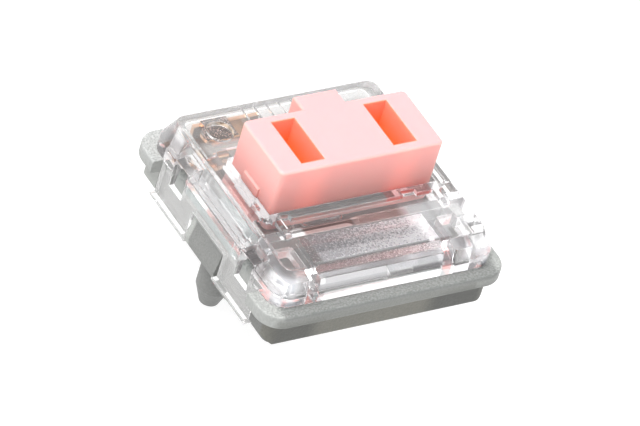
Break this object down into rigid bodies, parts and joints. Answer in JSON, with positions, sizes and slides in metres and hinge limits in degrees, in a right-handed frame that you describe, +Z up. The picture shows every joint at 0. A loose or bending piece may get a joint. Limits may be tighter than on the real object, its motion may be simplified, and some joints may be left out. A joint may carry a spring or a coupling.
{
  "type": "mechanical keyboard switch",
  "caption": "Low-profile keyboard switch with a clear clip-fit cover, a pink two-socket stem, a grey flanged base with fixing posts, and bronze contact pins.",
  "frame": {"origin": "centre post's axis at the face that rests on the circuit board", "axes": "+X along the stem's long side, +Y towards the contact side, +Z up away from the board"},
  "size_m": [0.015, 0.015, 0.011],
  "materials": {
    "base_plastic": "fine grey moulding texture",
    "cover_plastic": "clear and polished, with frosted panels",
    "stem_plastic": "satin, slightly translucent pink",
    "spring_steel": "bright drawn wire",
    "terminal_bronze": "bright stamped sheet",
    "leaf_bronze": "bright rolled strip",
    "contact_inlay": "polished contact metal"
  },
  "bodies": {
    "housing": {"bottom_housing": "base_plastic", "top_housing": "cover_plastic", "fixed_terminal": "terminal_bronze", "fixed_contact": "contact_inlay", "moving_terminal": "terminal_bronze", "return_spring": "spring_steel"},
    "slider": {"stem": "stem_plastic"},
    "leaf": {"contact_leaf": "leaf_bronze", "moving_contact": "contact_inlay"}
  },
  "joints": [
    {"name": "stem_slide", "type": "slide", "parent": "housing", "child": "slider", "axis": [0, 0, -1], "range_m": [0, 0.003], "stiffness_N_per_m": 60, "springref_m": -0.002, "deforming": ["return_spring"]},
    {"name": "leaf_hinge", "type": "hinge", "parent": "housing", "child": "leaf", "pos_m": [0.00455, 0.00402, 0.0029], "axis": [0, 0, 1], "range_deg": [0, 1.9]}
  ],
  "couplings": [
    {"joint": "leaf_hinge", "follows": "stem_slide", "rad_per_m": 10.86}
  ]
}
